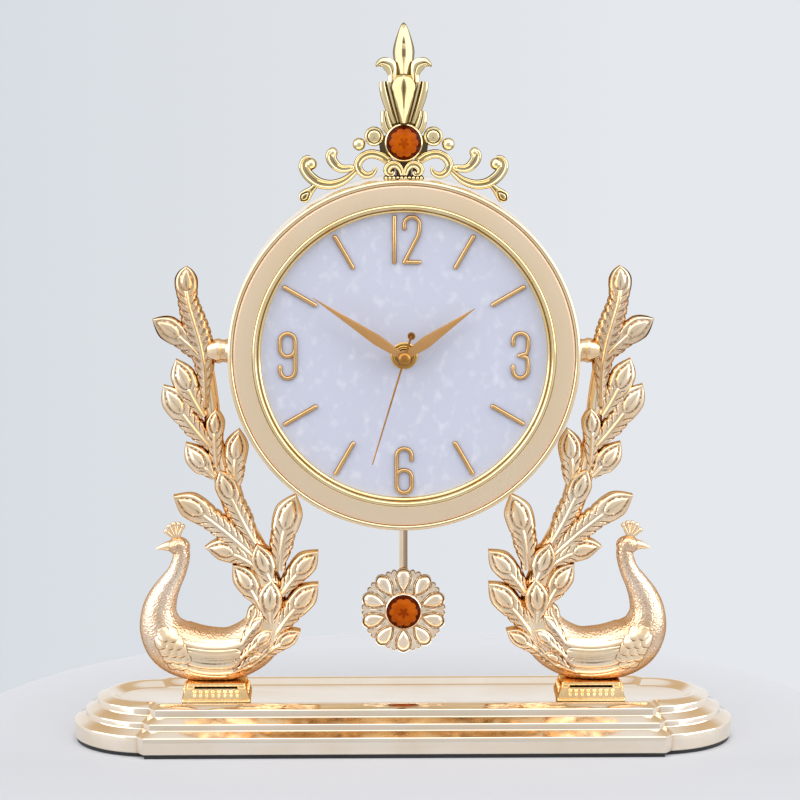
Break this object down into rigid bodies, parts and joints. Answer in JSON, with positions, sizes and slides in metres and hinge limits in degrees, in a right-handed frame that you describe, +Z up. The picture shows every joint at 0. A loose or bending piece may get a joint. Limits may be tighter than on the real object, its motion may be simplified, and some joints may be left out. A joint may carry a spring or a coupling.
{
  "type": "desk pendulum clock",
  "caption": "Round open-faced quartz desk clock held between two gold peacocks on a stepped plinth, with a scrolled crest and a swinging flower pendulum set with an amber stone.",
  "frame": {"origin": "centre of the footprint on the surface the clock stands on", "axes": "+X to the right of someone facing the dial, +Y away from them, +Z up"},
  "size_m": [0.328, 0.09, 0.354],
  "materials": {
    "base_plating": "bright champagne plating over moulded plastic",
    "case_gold": "bright gold plating over moulded plastic",
    "cast_gold": "bright pale gold plating over a zinc casting",
    "champagne": "brushed champagne",
    "ring_gold": "polished gold",
    "pearl": "pearl",
    "mark_gold": "satin gold",
    "hand_gold": "satin gold",
    "amber": "faceted amber",
    "black": "matte",
    "steel": "plain",
    "brass": "turned",
    "wheel": "moulded",
    "copper": "enamelled winding",
    "board": "lacquered",
    "magnet": "sintered",
    "rubber": "soft",
    "cell": "printed sleeve"
  },
  "bodies": {
    "clock": {"base_plinth": "base_plating", "case_drum": "case_gold", "peacock_left": "cast_gold", "peacock_right": "cast_gold", "pedestal_left": "cast_gold", "pedestal_right": "cast_gold", "side_post_left": "cast_gold", "side_post_right": "cast_gold", "crest": "cast_gold", "bezel_face": "champagne", "inner_bezel": "ring_gold", "dial": "pearl", "hour_bars": "mark_gold", "numerals": "mark_gold", "crest_gem": "amber", "bottom_plate": "black", "back_cover": "black", "movement_front": "black", "movement_rear": "black", "bottom_plate_screws": "steel", "pedestal_screws": "steel", "side_post_screws": "steel", "crest_screws": "steel", "dial_screws": "steel", "back_cover_screws": "steel", "pivot_pin": "steel", "positive_contact": "steel", "negative_contact": "steel", "stator": "steel", "dial_washer": "brass", "dial_nut": "brass", "stepper_coil": "copper", "drive_coil": "copper", "circuit_board": "board", "cushion_washer": "rubber"},
    "second": {"second_wheel": "wheel", "second_hand": "hand_gold"},
    "intermediate": {"intermediate_wheel": "wheel"},
    "stepper_rotor": {"rotor": "wheel"},
    "third": {"third_wheel": "wheel"},
    "centre": {"centre_wheel": "wheel"},
    "minute": {"minute_arbor": "brass", "minute_hand": "hand_gold"},
    "motion_wheel": {"minute_wheel": "wheel"},
    "hour": {"hour_wheel": "wheel", "hour_hand": "hand_gold"},
    "knob": {"setting_knob": "black"},
    "cell": {"battery": "cell"},
    "pendulum": {"pendulum_hanger": "black", "drive_magnet": "magnet", "pendulum_rod": "cast_gold", "bob_flower": "cast_gold", "bob_gem": "amber"}
  },
  "joints": [
    {"name": "second_hand_turn", "type": "hinge", "parent": "clock", "child": "second", "pos_m": [0, 0, 0.194], "axis": [0, 1, 0], "continuous": true},
    {"name": "intermediate_turn", "type": "hinge", "parent": "clock", "child": "intermediate", "pos_m": [0.00205, 0, 0.20165], "axis": [0, 1, 0], "continuous": true},
    {"name": "rotor_turn", "type": "hinge", "parent": "clock", "child": "stepper_rotor", "pos_m": [-0.00039, 0, 0.20836], "axis": [0, 1, 0], "continuous": true},
    {"name": "third_turn", "type": "hinge", "parent": "clock", "child": "third", "pos_m": [-0.00551, 0, 0.18849], "axis": [0, 1, 0], "continuous": true},
    {"name": "centre_turn", "type": "hinge", "parent": "clock", "child": "centre", "pos_m": [0, 0, 0.194], "axis": [0, 1, 0], "continuous": true},
    {"name": "minute_hand_turn", "type": "hinge", "parent": "clock", "child": "minute", "pos_m": [0, 0, 0.194], "axis": [0, 1, 0], "continuous": true},
    {"name": "motion_wheel_turn", "type": "hinge", "parent": "clock", "child": "motion_wheel", "pos_m": [-0.0052, 0, 0.197], "axis": [0, 1, 0], "continuous": true},
    {"name": "hour_hand_turn", "type": "hinge", "parent": "clock", "child": "hour", "pos_m": [0, 0, 0.194], "axis": [0, 1, 0], "continuous": true},
    {"name": "setting_knob_turn", "type": "hinge", "parent": "clock", "child": "knob", "pos_m": [-0.01039, 0, 0.2], "axis": [0, 1, 0], "continuous": true},
    {"name": "pendulum_swing", "type": "hinge", "parent": "clock", "child": "pendulum", "pos_m": [0, 0, 0.218], "axis": [0, 1, 0], "range_deg": [-6, 6]},
    {"name": "cell_removal", "type": "slide", "parent": "clock", "child": "cell", "axis": [0, 1, 0], "range_m": [0, 0.04]}
  ],
  "couplings": [
    {"joint": "intermediate_turn", "follows": "second_hand_turn", "ratio": -5},
    {"joint": "rotor_turn", "follows": "second_hand_turn", "ratio": 30},
    {"joint": "third_turn", "follows": "second_hand_turn", "ratio": -0.13333},
    {"joint": "centre_turn", "follows": "second_hand_turn", "ratio": 0.016667},
    {"joint": "motion_wheel_turn", "follows": "minute_hand_turn", "ratio": -0.33333},
    {"joint": "hour_hand_turn", "follows": "minute_hand_turn", "ratio": 0.083333},
    {"joint": "setting_knob_turn", "follows": "minute_hand_turn", "ratio": 1}
  ]
}
